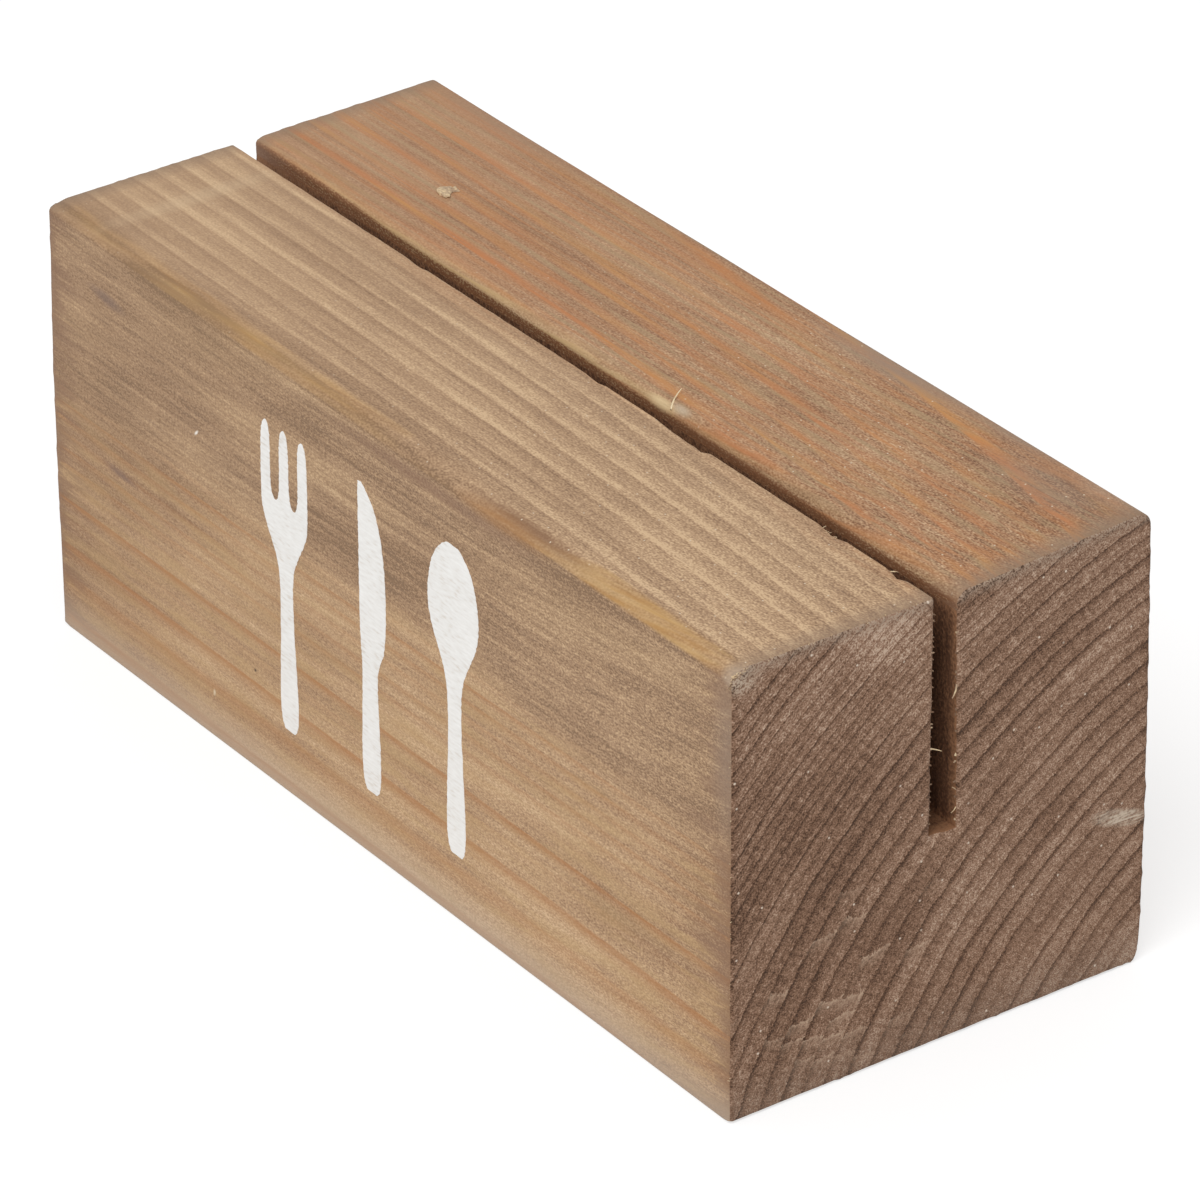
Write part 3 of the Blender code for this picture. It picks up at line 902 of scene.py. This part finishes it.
# Middle of each utensil along the block, and its left side, right side and height at stations up it, in
# millimetres
UTENSILS = {
    "fork": (-12.4, [
        (-0.9, 0.9, 0.0), (-1.5, 1.5, 1.6), (-1.1, 1.1, 8.0), (-0.8, 0.8, 15.0), (-1.5, 1.5, 17.2),
        (-3.4, 3.4, 20.2), (-3.5, 3.5, 22.0), (-3.5, 3.5, 25.5), (-3.4, 3.4, 29.4),
    ]),
    "knife": (0.0, [
        (-0.9, 0.9, 0.0), (-1.5, 1.5, 1.6), (-1.2, 1.2, 8.0), (-1.0, 1.0, 12.8), (-1.3, 2.3, 13.9),
        (-1.3, 2.7, 18.8), (-1.3, 2.4, 24.0), (-1.3, 1.3, 27.8), (-1.3, -0.7, 29.6),
    ]),
    "spoon": (12.4, [
        (-0.9, 0.9, 0.0), (-1.5, 1.5, 1.6), (-1.1, 1.1, 8.0), (-0.8, 0.8, 15.6), (-1.6, 1.6, 18.2),
        (-3.6, 3.6, 21.4), (-3.7, 3.7, 24.6), (-2.9, 2.9, 27.9), (-1.0, 1.0, 29.6),
    ]),
}
TINE_ROOT, GAP_IN, GAP_OUT = 21.9, 0.4, 2.0
printed = []
for utensil, (middle, stations) in UTENSILS.items():
    bpy.ops.object.select_all(action="DESELECT")
    bpy.ops.mesh.primitive_grid_add(x_subdivisions=COLUMNS, y_subdivisions=len(stations) - 1, size=2.0)
    film = bpy.context.object
    film.name = utensil
    for vertex in film.data.vertices:
        left, right, height = stations[round((vertex.co.y + 1.0) / 2.0 * (len(stations) - 1))]
        side = MARK_X + middle + left + (right - left) * (vertex.co.x + 1.0) / 2.0
        vertex.co = Vector((side * MM, -0.6 * WIDTH * MM, (MARK_Z + height) * MM))
    if utensil == "fork":
        # Two gaps between the three tines
        bpy.ops.object.mode_set(mode="EDIT")
        pick("FACE", lambda p: p[:, 2].mean() > MARK_Z + TINE_ROOT
             and GAP_IN < abs(p[:, 0].mean() - MARK_X - middle) < GAP_OUT)
        bpy.ops.mesh.delete(type="FACE")
        bpy.ops.object.mode_set(mode="OBJECT")
    printed.append(film)
for film in printed:
    film.select_set(True)
mark = printed[0]
bpy.context.view_layer.objects.active = mark
bpy.ops.object.join()
mark.name = "printed_mark"
smooth = mark.modifiers.new("rounded_outline", "SUBSURF")
smooth.levels = smooth.render_levels = 4
bpy.ops.object.modifier_apply(modifier=smooth.name)

# Ink crept a little along the grain, so the outline is slightly ragged
CREEP = (0.09 * MM, 0.0, 0.05 * MM)
outline = read_places(mark.data.vertices, "co")
creep = np.array([noise.noise_vector(Vector((a / 0.7, 0.0, c / 0.3)) / MM) for a, _, c in outline])
mark.data.vertices.foreach_set("co", (outline + creep * CREEP).ravel())
laid = mark.modifiers.new("laid_on_wood", "SHRINKWRAP")
laid.target = block
laid.wrap_method = "PROJECT"
laid.use_project_y = True
laid.use_project_z = False
laid.use_positive_direction = True
laid.wrap_mode = "ABOVE_SURFACE"
laid.offset = INK_FILM * MM
bpy.ops.object.modifier_apply(modifier=laid.name)
thick = mark.modifiers.new("film", "SOLIDIFY")
thick.thickness = 1.6 * INK_FILM * MM
thick.offset = -1.0
bpy.ops.object.modifier_apply(modifier=thick.name)
bpy.ops.object.mode_set(mode="EDIT")
bpy.ops.mesh.select_all(action="SELECT")
bpy.ops.mesh.normals_make_consistent(inside=False)
bpy.ops.object.mode_set(mode="OBJECT")
bpy.ops.object.shade_smooth_by_angle(angle=math.radians(40.0))

# White screen ink: matt and nearly opaque, a little thinner over the open pores of the wood
ink, tree, shader, place = begin("white_screen_ink")
tone, layers = mottle(tree, place, {
    "pores": ((1.0, 0.25, 0.25), 1.0, 1.0),
    "wash": ((6.0, 3.0, 3.0), 1.0, 0.6),
})
white = add(tree, "ValToRGB", {0: tone}, stops=[(0.15, "#DCD4CA"), (0.4, "#ECEAE6"), (0.8, "#F5F4F1")])
bump = add(tree, "Bump", {"Height": layers["pores"], "Strength": 0.5, "Distance": 0.04 * MM})
feed(tree, shader, {"Base Color": white, "Roughness": 0.6, "Normal": bump})
mark.data.materials.append(ink)
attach(mark, "root")

# The stage: a wide floor of white paper that keeps a soft shadow, under even studio light. Both look white
# to the camera, and light the block less than that.
bpy.ops.object.select_all(action="DESELECT")
bpy.ops.mesh.primitive_plane_add(size=6.0, location=(0.0, 0.0, 0.0))
floor = bpy.context.object
floor.name = "floor"


def seen(tree):
    """Adds a mask that is 1 for what the camera sees, also in a reflection, and 0 for light on the block."""
    rays = add(tree, "LightPath")
    mask = rays.outputs["Is Camera Ray"]
    for ray in ("Is Glossy Ray", "Is Transmission Ray"):
        mask = add(tree, "Math", {0: mask, 1: rays.outputs[ray]}, operation="MAXIMUM")
    return mask


# White paper: matt, without a grain that shows
paper = bpy.data.materials.new("white_paper")
paper.use_nodes = True
tree = paper.node_tree
tree.nodes.clear()
matt = add(tree, "BsdfDiffuse", {"Color": "#E8E8E8"})
dim = add(tree, "BsdfDiffuse", {"Color": "#B4B4B4"})
glow = add(tree, "Emission", {"Color": "#FFFFFF", "Strength": 0.62})
lit = add(tree, "AddShader", {0: dim, 1: glow})
both = add(tree, "MixShader", {0: seen(tree), 1: matt, 2: lit})
add(tree, "OutputMaterial", {"Surface": both})
floor.data.materials.append(paper)

world = bpy.data.worlds.new("studio")
world.use_nodes = True
tree = world.node_tree
tree.nodes.clear()
strength = add(tree, "Math", {0: seen(tree), 1: 0.4, 2: 0.6}, operation="MULTIPLY_ADD")
sky = add(tree, "Background", {"Color": "#FFFFFF", "Strength": strength})
add(tree, "OutputWorld", {"Surface": sky})
bpy.context.scene.world = world

# The key light is one square softbox in front of the block, above it and to the right
KEY_PLACE, KEY_AIM = Vector((0.36, -0.61, 0.96)), Vector((0.0, 0.0, 0.02))
lamp = bpy.data.lights.new("key", "AREA")
lamp.size = 0.6
lamp.energy = 7.1
softbox = bpy.data.objects.new("key", lamp)
softbox.location = KEY_PLACE
softbox.rotation_euler = (KEY_AIM - KEY_PLACE).to_track_quat("-Z", "Y").to_euler()
bpy.context.scene.collection.objects.link(softbox)

# The camera stands where the photograph was taken from, a little above and to the right of the front
AZIMUTH, ELEVATION, ROLL = math.radians(54.208), math.radians(29.902), math.radians(-0.3012)
DISTANCE, AIM_RIGHT, AIM_UP = 0.61076, 0.001874, -0.002374
back = Vector((
    math.sin(AZIMUTH) * math.cos(ELEVATION), -math.cos(AZIMUTH) * math.cos(ELEVATION), math.sin(ELEVATION)
))
sideways = Vector((math.cos(AZIMUTH), math.sin(AZIMUTH), 0.0))
plumb = back.cross(sideways)
right = math.cos(ROLL) * sideways + math.sin(ROLL) * plumb
up = math.cos(ROLL) * plumb - math.sin(ROLL) * sideways
lens = bpy.data.cameras.new("camera")
lens.lens = 216.158
lens.sensor_width = 36.0
camera = bpy.data.objects.new("camera", lens)
target = Vector((0.0, 0.0, HEIGHT / 2 * MM)) + AIM_RIGHT * right + AIM_UP * up
turned = Matrix((right, up, back)).transposed().to_4x4()
camera.matrix_world = Matrix.Translation(target + DISTANCE * back) @ turned
bpy.context.scene.collection.objects.link(camera)
bpy.context.scene.camera = camera
bpy.context.scene.view_settings.view_transform = "Standard"
